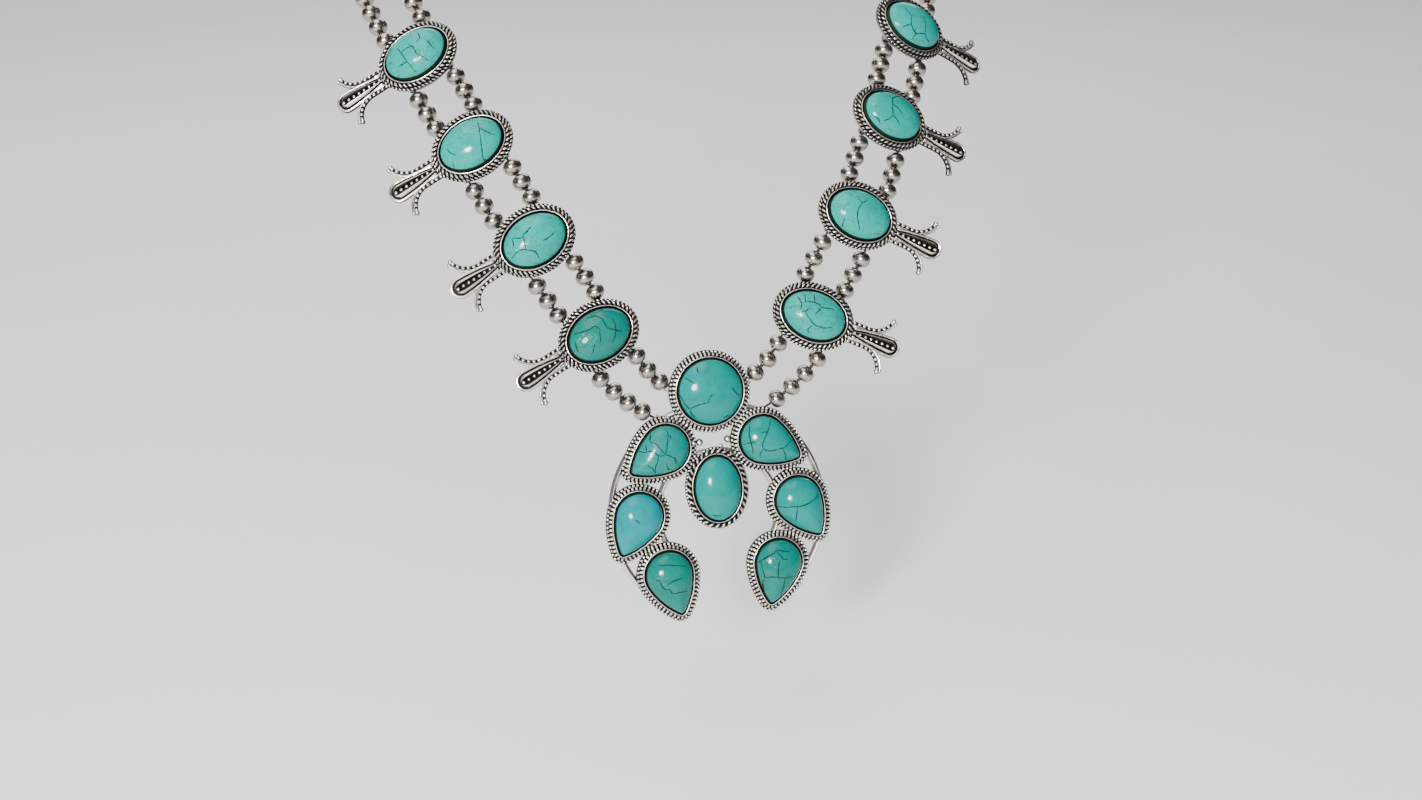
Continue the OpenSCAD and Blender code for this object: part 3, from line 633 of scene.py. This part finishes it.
# Cracks of each stone, traced in the stone's own plane
CRACKS = {
    "left_oval_stone_4": [
        [(3, 2.5), (2.8, 0.2), (2.7, -1.2), (2.7, -2.4), (2.4, -3.7), (2.3, -4.9), (2.2, -5.7)],
        [(2.7, -2.5), (4.2, -2.4), (5.3, -2.1)],
        [(0.1, 1.3), (-0.8, 0.2), (-0.9, -1.3),
         (-0.6, -2.3), (-1.6, -3.4), (-2.1, -4.4), (-2.5, -5.2)],
        [(-5, -0.3), (-5.2, -1.9), (-5.3, -3.2)],
        [(-3.7, 3.5), (-3.8, 1.6), (-3.1, 0.8), (-1.9, 0.6)],
        [(-0.8, 0.2), (0.7, 0.7), (2.8, 0.4)],
    ],
    "left_oval_stone_3": [
        [(-3.1, -1.3), (-2.2, -3), (-1.5, -4.4), (-0.9, -5.5), (-0.6, -6.2)],
        [(-4.2, 1.4), (-5, 0.1), (-5.9, -1.3), (-6.6, -2.2)],
        [(6, 1.5), (6, 0.2), (5.4, -0.8), (4.9, -1.5)],
        [(6.6, -2.2), (6.8, -3), (7.2, -3.6)],
        [(-0.6, -6.2), (-1, -6.4), (-1.4, -6.3)],
        [(-4.7, 3.5), (-4.2, 1.4), (-3.1, -1.3)],
    ],
    "left_oval_stone_2": [
        [(2.2, 2.6), (2.8, 1), (3.4, -0.3), (3.7, -1)],
        [(4.9, 3.3), (3.5, 2.2), (2.6, 2)],
        [(6.9, -0.6), (5.7, -0.4), (4.1, -0.8), (3.1, -1.9), (1.9, -2.9), (1.8, -3.9), (2, -5)],
        [(-1.3, -1.7), (-2.7, -1.8), (-4.3, -1.6), (-5.4, -1.3)],
        [(6.9, -0.6), (8.1, -1.1)],
        [(2.1, 2.6), (1, 2.5), (-0, 3), (-0.9, 3.1)],
        [(4.9, 3.3), (5.6, 2), (6, 1.1)],
    ],
    "left_oval_stone_1": [
        [(6.2, 3.7), (4.1, 3), (2.2, 2.5), (0.6, 2.7), (0.1, 1.8), (0, 0.6)],
        [(0.4, 0.8), (0.8, -0.7), (1.8, -2)],
        [(-2.3, 3), (-2.1, 1.6), (-1.9, 0.4)],
        [(-4.7, 1.8), (-4.4, -0.1), (-3.7, -1.4), (-2.6, -2.7), (-1.1, -3.8)],
        [(3.1, -1.5), (4.2, -2.5), (4.8, -3.4)],
        [(-2, 0.4), (-3.7, -1.3), (-5, -2.5)],
        [(7.2, 1.8), (7.7, 0.1), (7.7, -1.1)],
        [(0.6, 5.4), (-1.3, 4.9), (-2.3, 3)],
    ],
    "right_oval_stone_4": [
        [(-5.5, 1.6), (-4.3, 0.4), (-3.3, -0.5), (-2.7, -2.9),
         (-1.5, -4), (-0.2, -4.7), (2.4, -3.3), (3.8, -4.1), (5.5, -4.3)],
        [(-2.6, -3), (-4, -3.7), (-4.5, -4.4)],
        [(-0.2, -4.7), (-0.4, -5.6), (-0.5, -6.1)],
        [(0.6, 1.3), (1.8, -0.7), (2.5, -3.2)],
    ],
    "right_oval_stone_3": [
        [(0.8, 6.4), (-2.8, 3.3), (-2.5, 0.9), (-1.5, -1.9), (0.4, -2.7), (1.5, -3.6)],
        [(-1.4, -2.1), (-2.2, -3.4), (-3.3, -4.2)],
        [(-2.4, 1.2), (-0.5, 0.7), (1.1, -0.3)],
        [(-6.1, -3.7), (-4.5, -4.2), (-3.8, -5)],
    ],
    "right_oval_stone_2": [
        [(-0.1, 3.9), (-1.3, 2.4), (-1.8, 0.8),
         (-1.8, -0.8), (-1.3, -2.1), (-0.1, -3.5), (1.1, -5)],
        [(-3.3, 3.7), (-2.4, 3), (-1.5, 2.2)],
        [(-4.2, -3.3), (-4.1, -4.5), (-3.7, -5.6)],
    ],
    "right_oval_stone_1": [
        [(-6.9, 3.1), (-5.8, 2.1), (-5, 1.2), (-4.7, -0.3)],
        [(-5.1, 1.5), (-3.6, 2.3), (-1.7, 2.8), (-0.3, 2.8), (0.5, 2.1), (2.2, 2.6), (4.2, 3.1)],
        [(0.4, 2), (0.1, 0.8), (-0.5, -0.2)],
        [(-4.9, 4.2), (-4.2, 2)],
        [(-2.4, 5.1), (-1.8, 2.8)],
        [(-3.3, -0.6), (-2.3, -1.5), (-0.8, -2.5), (0.5, -3), (1.9, -3), (3.5, -2.8), (5.2, -1.6)],
        [(0, -3.2), (-0.9, -4.6), (-0.2, -5.5)],
        [(-4.1, -0.8), (-3.3, -0.6), (-2.7, 0.5)],
    ],
    "round_stone": [
        [(-7.2, 4.6), (-6.3, 4.1), (-5.5, 3.3), (-4.6, 2.7)],
        [(-3.6, 7.1), (-3.6, 6.1), (-3.4, 5.4)],
        [(-6.6, -4.1), (-5.5, -3.6), (-4.1, -3), (-2.1, -2.7), (-1.1, -2.5)],
        [(-1.7, -2.3), (-1, -1.3), (-0.5, -0.6), (0.2, -0.4)],
        [(-8.7, -0.1), (-8.2, -1.5), (-7.4, -3.1), (-6.6, -4.1)],
        [(-6.4, -4.4), (-6, -5.7), (-5.2, -6.6)],
        [(5.4, 0.9), (6.2, -0.3), (7.1, -1.3), (7.9, -1.8)],
        [(2.7, -7.4), (3.6, -7.2), (4.2, -6.7)],
    ],
    "left_top_pear_stone": [
        [(-5.5, 4.2), (-4.8, 3.1), (-3.5, 1.7), (-2.3, 0.4), (-1.3, -0.4)],
        [(0.2, 4.5), (-0.9, 3.2), (-0.9, 2.1), (-1, 0.6), (-1.3, -0.4)],
        [(4.1, 4), (2.9, 2.9), (1.8, 2.8), (0.9, 1.7), (0.6, 0.4), (-0.1, -0.3), (-1.1, -0.4)],
        [(-1.2, -0.5), (-2, -1.6), (-2.9, -3.1), (-2.9, -4.2)],
        [(0.6, 0.2), (1.7, -1), (2.9, -1.8), (3.9, -3.5)],
        [(4.4, -0), (3.8, -1.8), (3.8, -3.5)],
        [(-5.4, 3), (-4.8, 1.8)],
        [(1.6, 4.5), (2.4, 3.1)],
        [(-0.1, -2.7), (0.4, -4.3), (-0.4, -5.7)],
        [(-2.6, -3.1), (-2.2, -4.9)],
        [(-1.2, 6), (0.1, 4.7)],
    ],
    "right_top_pear_stone": [
        [(-3.3, 5.6), (-3.2, 4), (-3.1, 2.5), (-3.1, 0.6), (-2.9, -1.5), (-2.2, -2.6),
         (-1.1, -2.5), (0.4, -2), (1.7, -0.7), (2.8, -0.1), (3.6, 1), (4.2, 2.6), (5.2, 3.3)],
        [(2.9, -0.1), (4.2, -1.2), (6.1, -2.9)],
        [(-3.1, 2.3), (-4.5, 1.4)],
        [(-7.9, 1.5), (-7.1, -0.8), (-5.8, -2.4), (-4.6, -3.8), (-3.9, -4.9)],
        [(-7.3, -3.7), (-5.8, -2.4), (-4.6, -1.4)],
        [(-2.2, -2.8), (-2.3, -4.1), (-1.6, -5)],
    ],
    "right_middle_pear_stone": [
        [(-4.6, -6), (-3.7, -4.9), (-2.7, -3.1),
         (-1.5, -0.9), (-0.9, 1.2), (-0.8, 3.2), (-0.8, 5.2)],
        [(-1.9, -1.9), (0, -3.2), (1.6, -4.4)],
    ],
    "left_tip_pear_stone": [
        [(-3.2, 4.3), (-2.4, 3.4), (-1, 3.3), (0.2, 2.9), (0.5, 1.6)],
        [(2, 1.4), (2.2, -0.1), (2.7, -1.9), (2.9, -3)],
        [(-0.8, 2.1), (-1.3, 0.4), (-1.3, -1), (-1.2, -2.9)],
        [(-6.5, 2), (-5.8, -0.6), (-4.6, -3.1), (-3.5, -5.1)],
        [(0.5, 1.6), (2, 1.4)],
    ],
    "right_tip_pear_stone": [
        [(-1.5, -6.3), (-2.4, -5.7), (-3.8, -4.4), (-5, -2.8), (-6, -1.9)],
        [(-5.6, -1.8), (-4.9, -0.8), (-4, 0.1), (-4.1, 1.5)],
        [(-3.5, -0.7), (-2.1, -1), (-0.6, -0.8), (1.1, -0.5)],
        [(-2.4, -5.7), (-0.7, -5.1), (0.7, -4.4), (2, -3.8),
         (1.4, -2.3), (1.2, -0.4), (1.2, 1.9), (0.5, 3.8), (0.6, 5.7)],
        [(2.1, -3.8), (3.7, -4), (6.1, -2.8)],
        [(1.2, 1.5), (3, 1.8), (4.7, 1.7), (6.4, 1.9)],
        [(-6.1, -1.9), (-6.2, -0.2), (-6.2, 1.7)],
    ],
    "centre_oval_stone": [
        [(-7, 2.5), (-7.4, 1.3), (-7.2, 0.1)],
    ],
    "left_middle_pear_stone": [
        [(-1.5, 1.7), (-1.4, 0.7), (-1, -0.1)],
    ],
}


# Places: a 3 by 3 matrix and an offset, in millimetres

def turned(place, angle, at):
    """A place turned about its own Z and moved to a point of its XY plane."""
    c, s = math.cos(angle), math.sin(angle)
    turn = np.array([[c, -s, 0], [s, c, 0], [0, 0, 1.0]])
    return place[0] @ turn, place[1] + place[0] @ np.array([at[0], at[1], 0.0])


def mirrored(place):
    """The same place on the other side of the necklace."""
    flip = np.diag([-1.0, 1, 1])
    return flip @ place[0], flip @ place[1]


def points_of(name):
    """Points of a node of the source, in millimetres."""
    mesh = NODES[name].data
    co = np.zeros(len(mesh.vertices) * 3)
    mesh.vertices.foreach_get("co", co)
    return co.reshape(-1, 3) / MM


def station_place(side, i):
    """Frame of a station from its stone: x out to its blossom, z to its front."""
    points = np.unique(np.round(points_of(f"{side}_oval_stone_{i}"), 3), axis=0)
    middle = (points.min(0) + points.max(0)) / 2
    for _ in range(3):
        _, axes = np.linalg.eigh(np.cov((points - middle).T))
        z, x = axes[:, 0], axes[:, 2]
        local = (points - middle) @ np.column_stack([x, z])
        middle = middle + x * (local[:, 0].min() + local[:, 0].max()) / 2
    across = np.linalg.norm(points - middle - np.outer((points - middle) @ z, z), axis=1)
    if np.corrcoef((points - middle) @ z, across)[0, 1] > 0:
        z = -z
    y = np.cross(z, x)
    for axis, aim in ((x, points_of(f"{side}_blossom_{i}").mean(0) - middle),
                      (y, np.array([0, 0.4, 1.0]))):
        if np.dot(axis, aim) < 0:
            axis *= -1
    low = ((points - middle) @ z).min()
    v = (points - middle) @ y
    base = middle + z * (low - STONE_LOW) + y * (v.min() + v.max()) / 2
    return np.column_stack([x, y, z]), base


c, s = math.cos(math.pi / 2 - LEAN), math.sin(math.pi / 2 - LEAN)
PENDANT = (np.array([[1, 0, 0], [0, c, -s], [0, s, c]]), PENDANT_AT)


def pear_place(side, i):
    """Place of a pear; i counts from the top of the crescent to its tip."""
    a = math.radians(PEAR_AT[i])
    place = turned(PENDANT, math.radians(PEAR_POINT[i]),
                   (CRESCENT_R * math.cos(a), CRESCENT_R * math.sin(a) - CRESCENT_DROP))
    return place if side == "right" else mirrored(place)


OVAL_PLACE = turned(PENDANT, math.pi / 2, (0, -OVAL_DROP))
SIDES = ("left", "right")
PEARS = ("top", "middle", "tip")
CUPS = [("round", PENDANT, "round_stone"), ("oval", OVAL_PLACE, "centre_oval_stone")]
CUPS += [("pear", pear_place(side, i), f"{side}_{PEARS[i]}_pear_stone")
         for side in SIDES for i in range(3)]


# Pendant

def pipe(shape, at, way, length, place, sides=28):
    """Short open tube in the plane of the strands."""
    way = np.array([way[0], way[1], 0.0])
    side, up = np.array([-way[1], way[0], 0]), np.array([0, 0, 1.0])
    a = np.arange(sides) / sides * TAU
    disc = np.cos(a)[:, None] * side + np.sin(a)[:, None] * up
    middle = np.array([at[0], at[1], 0.0])
    shoulder, ease = 0.94, 0.15
    wall = [(BORE_D / 2, -1), (TUBE_D / 2 - ease, -1), (TUBE_D / 2, -shoulder),
            (TUBE_D / 2, shoulder), (TUBE_D / 2 - ease, 1), (BORE_D / 2, 1)]
    # Outside bright as polish and painted highlight, bore dark as painted shade
    shape.grid([middle + way * k * length / 2 + r * disc for r, k in wall], along=True,
               place=place, worn=[0, 0.7, 0.8, 0.8, 0.7, 0])


def rail(shape, r):
    """Triangular wire of the crescent, at radius r."""
    half, low, steps = RAIL_W / 2, FLOOR_LOW - 0.2, 150
    foot, shoulder, ridge, blunt = 0.35, 0.5, 0.12, 0.06
    section = np.array([(-half, low), (half, low), (half, low + foot),
                        (half - EASE, low + shoulder), (ridge, low + RAIL_H - blunt),
                        (0, low + RAIL_H), (-ridge, low + RAIL_H - blunt),
                        (EASE - half, low + shoulder), (-half, low + foot)])
    # Brightness of each corner of the section: ridge and flanks bright as polish and painted
    # highlight, foot dark as painted shade
    worn = [0.4, 0.4, 0.3, 0.9, 1, 1, 1, 0.9, 0.3]
    rings = []
    for a in np.linspace(-RAIL_END, math.pi + RAIL_END, steps):
        reach = r + section[:, 0]
        rings.append(np.column_stack([reach * math.cos(a), reach * math.sin(a) - CRESCENT_DROP,
                                      section[:, 1]]))
    shape.grid(rings, cap_first=True, cap_last=True, place=PENDANT,
               worn=np.broadcast_to(worn, (steps, len(worn))))


rails = Shape()
for r in (OUTER_RAIL_R, INNER_RAIL_R):
    rail(rails, r)
for side in (-1, 1):
    for (x, y), heading in END_TUBES:
        heading = math.radians(heading)
        pipe(rails, (side * x, y), (side * math.cos(heading), math.sin(heading)),
             END_TUBE_LEN, PENDANT)
balls(rails, SOLDER_BALLS, SOLDER_BALL_R, PENDANT)
balls(rails, SMALL_BALLS, SMALL_BALL_R, PENDANT)
rails.done("pendant_rails", SILVER, "silver", 28)

cups, borders = Shape(), Shape()
for kind, place, _ in CUPS:
    cup(cups, kind, PENDANT_RIM_W, place)
    if kind == "oval":
        rope(borders, kind, CENTRE_ROPE, place)
        granules(borders, kind, CENTRE_GRANULES, place)
    else:
        collar(borders, kind, COLLAR, place)
        granules(borders, kind, COLLAR_GRANULES, place)
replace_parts(cups.done("pendant_cups", SILVER, "silver"), "pendant_frame")
borders.done("pendant_borders", SILVER, "silver")

for kind, place, name in CUPS:
    stone(kind, place, name)


# Stations

def body(shape, place, n=48, across=29):
    """Body of a blossom: a base plate in the outline's shape with two convex lobes on it, either
    side of a shallow valley painted dark as shade, and a channel round them whose floor and
    walls are painted dark as shade."""
    p, _ = pear_arcs(*STEM_OUTLINE)
    upper = p[:len(p) // 2 + 1]
    x = -upper[:, 0]
    order = np.argsort(x)
    u = STEM_LEN / 2 * -np.cos(np.linspace(0.02, math.pi - 0.02, n))
    width = np.interp(u, x[order], upper[order, 1])
    loop = np.concatenate([np.column_stack([u, width]), np.column_stack([u, -width])[::-1]])
    loop = np.column_stack([loop[:, 0] + STEM_MID, loop[:, 1], 0 * loop[:, 0]])
    shape.grid([loop + [0, 0, FLOOR_LOW], loop + [0, 0, PLATE_TOP]], cap_first=True,
               cap_last=True, place=place, worn=[0.3, 0])

    room, round_end, narrowest = 2 * WIRE_R + CHANNEL, 2.0, 0.5
    u = np.linspace(-STEM_LEN / 2 + 0.3, STEM_LEN / 2 - room, n)
    end = np.sqrt(1 - np.clip((u - u[-1] + round_end) / round_end, 0, 1) ** 2)
    half = np.maximum(np.interp(u, x[order], upper[order, 1]) - room, narrowest)
    half = half * np.maximum(end, 0.05)
    t = np.linspace(-1, 1, across)
    crown = np.sqrt(np.clip(1 - ((np.abs(t) - LOBE_AT) / LOBE_HALF) ** 2, 0, 1))
    rise = (0.4 + 0.55 * half[:, None]) * crown
    x3 = np.broadcast_to((STEM_MID + u)[:, None], rise.shape)
    top = np.stack([x3, half[:, None] * t, PLATE_TOP + 0.1 + rise], -1)
    shape.grid(top, around=False, place=place,
               worn=np.broadcast_to(step(*LOBE_VALLEY_SHADE, np.abs(t)), rise.shape))
    side = np.concatenate([top[:, -1], top[::-1, 0]])
    shape.grid([side, side * [1, 1, 0] + [0, 0, PLATE_TOP - 0.05]], place=place, worn=0.0)


def wire_loop(shape, place):
    """Plain wire round a blossom's body, open where the body meets its cup."""
    p, out = spaced(*pear_arcs(*STEM_OUTLINE), 110)
    keep = p[:, 0] < STEM_LEN / 2 - 1.2
    p, out = p[keep], out[keep]
    gaps = np.linalg.norm(np.diff(p, axis=0), axis=1)
    if gaps.max() > 1.5:
        start = int(np.argmax(gaps)) + 1
        p, out = np.roll(p, -start, 0), np.roll(out, -start, 0)
    q = p - WIRE_R * out
    path = np.column_stack([STEM_MID - q[:, 0], -q[:, 1], np.full(len(q), WIRE_Z)])
    tube(shape, path, WIRE_R, 9, place=place)


def petal(shape, place, side):
    """Beaded wire and plain wire that leave the cup beside the body and curl outwards."""
    start_y = STEM_WID / 2 - 0.2
    turn = PETAL_TURN[side]

    def path(r, shift, start, end):
        run = [(s, shift) for s in np.linspace(start, PETAL_RUN, 8)[:-1]]
        arc = [(PETAL_RUN + r * math.sin(a), shift + r * (1 - math.cos(a)))
               for a in np.linspace(0, math.radians(end), 22)]
        return np.array([(STEM_FROM + a, side * (start_y + b), PETAL_Z) for a, b in run + arc])

    beaded = path(CURL_R, 0, -0.2, turn)
    # The beaded wire is painted dark all over, as shade between its granules
    tube(shape, beaded, PETAL_R, 10, place=place, bright=0.0)
    s = np.concatenate([[0], np.cumsum(np.linalg.norm(np.diff(beaded, axis=0), axis=1))])
    n = round(s[-1] / PETAL_PITCH)
    at = (np.arange(n) + 0.5) * s[-1] / n
    spots = np.stack([np.interp(at, s, beaded[:, k]) for k in range(3)], -1)
    balls(shape, spots + [0, 0, 0.25], PETAL_GRANULE_R, place)
    plain = path(CURL_R + PLAIN_WIRE_IN, -PLAIN_WIRE_IN, 1.0, turn - 2)
    tube(shape, plain, PLAIN_WIRE_R, 9, place=place)
    balls(shape, [beaded[-1] + [0, 0, 0.15], plain[-1]], PETAL_END_R, place)


def station(side, i):
    """Cup, blossom and tubes of a station, and its stone."""
    place = station_place(side, i)
    shape = Shape()
    cup(shape, "oval", STATION_RIM_W, place)
    rope(shape, "oval", STATION_ROPE, place)
    rope(shape, "oval", FINE_ROPE, place, sides=6, steps=10)
    for x in (-STRAND_GAP / 2, STRAND_GAP / 2):
        pipe(shape, (x, 0), (0, 1), SLOT - 0.4, place)
    body(shape, place)
    wire_loop(shape, place)
    for way in (1, -1):
        petal(shape, place, way)
    k = np.arange(GRAINS)
    u = STEM_FROM + 0.6 + (k + 0.5) * (STEM_LEN - 1.8) / GRAINS
    balls(shape, np.column_stack([u, 0 * u, np.full(GRAINS, GRAIN_Z)]),
          GRAIN_R + GRAIN_SWELL * k / (GRAINS - 1), place)
    name = f"{side}_blossom_{i}"
    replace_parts(shape.done(name + "_silver", SILVER, "silver"), name)
    stone("oval", place, f"{side}_oval_stone_{i}")


for side in SIDES:
    for i in (1, 2, 3, 4):
        station(side, i)

CRACKS_AND_SEAT_SHADE.done("stone_cracks_and_seat_shade", crack_and_seat_shade_material(), "turquoise")


# Strings of beads

def bead_centres(name):
    """Centre of each drilled bead of a string, from the pendant on."""
    bm = bmesh.new()
    bm.from_mesh(NODES[name].data)
    bmesh.ops.remove_doubles(bm, verts=bm.verts, dist=1e-6)
    seen, centres = set(), []
    for first in bm.verts:
        if first in seen:
            continue
        seen.add(first)
        todo, group = [first], []
        while todo:
            v = todo.pop()
            group.append(v.co)
            for e in v.link_edges:
                w = e.other_vert(v)
                if w not in seen:
                    seen.add(w)
                    todo.append(w)
        group = np.array(group) / MM
        centres.append((group.min(0) + group.max(0)) / 2)
    bm.free()
    chain = []
    here = PENDANT_AT
    while centres:
        far = [np.linalg.norm(c - here) for c in centres]
        here = centres.pop(int(np.argmin(far)))
        chain.append(here)
    return np.array(chain)


def bead_rings(seg=28, steps=17):
    """A bead with its bore along Z: rings of points from one rim of the bore to the other."""
    core, half = (BEAD_D - BEAD_LEN) / 2, BEAD_LEN / 2
    end = math.acos((BORE_D / 2 - core) / half)
    a = np.arange(seg) / seg * TAU
    disc = np.stack([np.cos(a), np.sin(a), np.zeros(seg)], -1)
    return np.array([(core + half * math.cos(t)) * disc + [0, 0, half * math.sin(t)]
                     for t in np.linspace(-end, end, steps)])


def facing(way):
    """Two directions at right angles to a way and to each other."""
    no_strand_runs_so = [0.3, 0.2, 0.9]
    x = unit(np.cross(way, no_strand_runs_so))
    return x, np.cross(way, x)


def dress(name, material):
    """Gives a node of the source its material."""
    slots = NODES[name].data.materials
    slots.clear()
    slots.append(material)


def string(name):
    """Beads of a string, the knots between them and the look of its thread."""
    centres = bead_centres(name + "_beads")
    ahead = unit(np.diff(centres, axis=0, append=[[0, 0.0, 0]]))
    ahead[-1] = ahead[-2]
    behind = np.concatenate([ahead[:1], ahead[:-1]])
    beads, knots = Shape(), Shape()
    for centre, way in zip(centres, unit(ahead + behind)):
        beads.grid(BEAD, along=True, place=(np.column_stack([*facing(way), way]), centre))
    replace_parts(beads.done(name + "_beads_polished", BEAD_SILVER, "bead_silver", 50),
                name + "_beads")
    for a, b in zip(centres[:-1], centres[1:]):
        if np.linalg.norm(a - b) < BEADS_APART:
            way = unit(b - a)
            x, y = facing(way)
            loop = [(a + b) / 2 + KNOT_R * (math.cos(t) * x + math.sin(t) * y)
                    + KNOT_SKEW * math.sin(2 * t) * way for t in np.linspace(0, TAU, 12)[:-1]]
            tube(knots, loop, KNOT_THREAD_R, 6, closed=True)
    knots.done(name + "_knots", THREAD, "thread")
    dress(name + "_thread", THREAD)


BEAD = bead_rings()
for side in SIDES:
    for row in ("inner", "outer"):
        string(f"{side}_{row}")
dress("closing_bar", PLAIN_SILVER)


# Floor, light and camera

HUB = (0, -0.12, -0.11)  # metres; the lights' distances count from here
FLOOR_Z = -0.26


def floor(size):
    """Square floor with sides of this many metres."""
    mesh = bpy.data.meshes.new("floor")
    h = size / 2
    mesh.from_pydata([(-h, -h, 0), (h, -h, 0), (h, h, 0), (-h, h, 0)], [], [(0, 1, 2, 3)])
    mesh.materials.append(floor_material())
    made = bpy.data.objects.new("floor", mesh)
    made.location = (0, 0, FLOOR_Z)
    bpy.context.scene.collection.objects.link(made)


def area_light(name, way, distance, size, watts, colour=(1, 1, 1), aim=HUB):
    """Soft round or oval light that stands off the hub and faces its aim."""
    data = bpy.data.lights.new(name, "AREA")
    data.shape, data.size, data.size_y = "ELLIPSE", size[0], size[1]
    data.energy, data.color = watts, colour
    light = bpy.data.objects.new(name, data)
    light.location = Vector(HUB) + Vector(way).normalized() * distance
    light.rotation_euler = (Vector(aim) - light.location).to_track_quat("-Z", "Y").to_euler()
    bpy.context.scene.collection.objects.link(light)


def surroundings():
    """Dim grey all round, a little lighter above."""
    world = bpy.data.worlds.new("studio")
    bpy.context.scene.world = world
    world.use_nodes = True
    tree = world.node_tree
    coord = tree.nodes.new("ShaderNodeTexCoord")
    split = tree.nodes.new("ShaderNodeSeparateXYZ")
    shade = tree.nodes.new("ShaderNodeValToRGB")
    tree.links.new(coord.outputs["Generated"], split.inputs[0])
    tree.links.new(split.outputs["Z"], shade.inputs["Fac"])
    tree.links.new(shade.outputs["Color"], tree.nodes["Background"].inputs["Color"])
    shade.color_ramp.elements[0].color = (0.05, 0.05, 0.052, 1)
    shade.color_ramp.elements[1].color = (0.16, 0.16, 0.17, 1)
    tree.nodes["Background"].inputs["Strength"].default_value = 0.6


floor(12.0)
area_light("key", (-0.42, -0.85, 0.32), 1.0, (0.2, 0.2), 24, (1, 0.97, 0.93))
area_light("soft_front", (0.1, -1.0, 0.2), 1.9, (2.2, 0.7), 2)
area_light("soft_top", (-0.25, 0.0, 1.0), 1.4, (1.9, 1.0), 21)
area_light("back_top", (0.15, 1.0, 0.8), 1.5, (1.8, 0.6), 9)
area_light("far_floor", (0.0, 1.0, 0.62), 3.2, (5.0, 1.6), 60, aim=(0, 2.2, FLOOR_Z))
surroundings()

# Camera fitted to the photograph
PHOTO_WIDTH, FOCAL_LENGTH = 1422, 1800  # pixels
CAMERA_AT = (-95.2, -617.7, 12.8)  # millimetres
YAW, DOWN, ROLL = (math.radians(d) for d in (-11.77, 19.93, -1.47))


def add_camera():
    """The photograph's camera, from its turn, its look down and its roll."""
    look = Vector((-math.sin(YAW) * math.cos(DOWN), math.cos(YAW) * math.cos(DOWN),
                   -math.sin(DOWN)))
    right = Vector((math.cos(YAW), math.sin(YAW), 0))
    up = right.cross(look)
    across = right * math.cos(ROLL) + up * math.sin(ROLL)
    upright = up * math.cos(ROLL) - right * math.sin(ROLL)
    lens = bpy.data.cameras.new("camera")
    lens.sensor_width = 36
    lens.lens = FOCAL_LENGTH * lens.sensor_width / PHOTO_WIDTH
    lens.clip_start, lens.clip_end = 0.01, 50
    camera = bpy.data.objects.new("camera", lens)
    turn = Matrix((across, upright, -look)).transposed()
    camera.matrix_world = Matrix.Translation(Vector(CAMERA_AT) * MM) @ turn.to_4x4()
    bpy.context.scene.collection.objects.link(camera)
    bpy.context.scene.camera = camera


add_camera()
